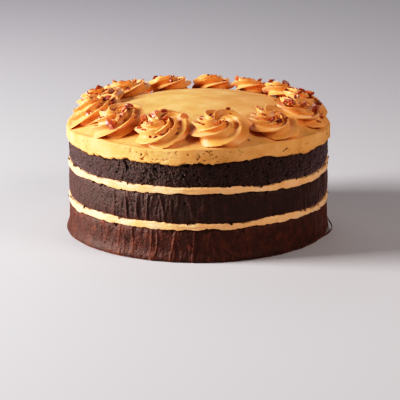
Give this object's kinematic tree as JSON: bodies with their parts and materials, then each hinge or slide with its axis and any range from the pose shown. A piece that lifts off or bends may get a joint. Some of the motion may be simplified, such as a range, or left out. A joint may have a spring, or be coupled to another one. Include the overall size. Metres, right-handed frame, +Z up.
{
  "type": "layer cake",
  "caption": "Round chocolate layer cake with caramel buttercream fillings, a domed buttercream top and a ring of piped rosettes with chopped caramel chips",
  "frame": {"origin": "centre of the flat underside", "axes": "+Z up through the middle of the cake, +X to the right and -Y to the front as the picture shows it"},
  "size_m": [0.2034, 0.203, 0.1078],
  "materials": {
    "sponge": "moist crumb, dull to satin",
    "filling": "smooth, satin",
    "icing": "spread smooth, satin",
    "rosette": "piped, satin"
  },
  "bodies": {
    "root": {"sponge_bottom": "sponge", "sponge_middle": "sponge", "sponge_top": "sponge", "filling_lower": "filling", "filling_upper": "filling", "icing_top": "icing", "rosette_01": "rosette", "rosette_02": "rosette", "rosette_03": "rosette", "rosette_04": "rosette", "rosette_05": "rosette", "rosette_06": "rosette", "rosette_07": "rosette", "rosette_08": "rosette", "rosette_09": "rosette", "rosette_10": "rosette", "rosette_11": "rosette", "rosette_12": "rosette", "rosette_13": "rosette"}
  },
  "joints": []
}
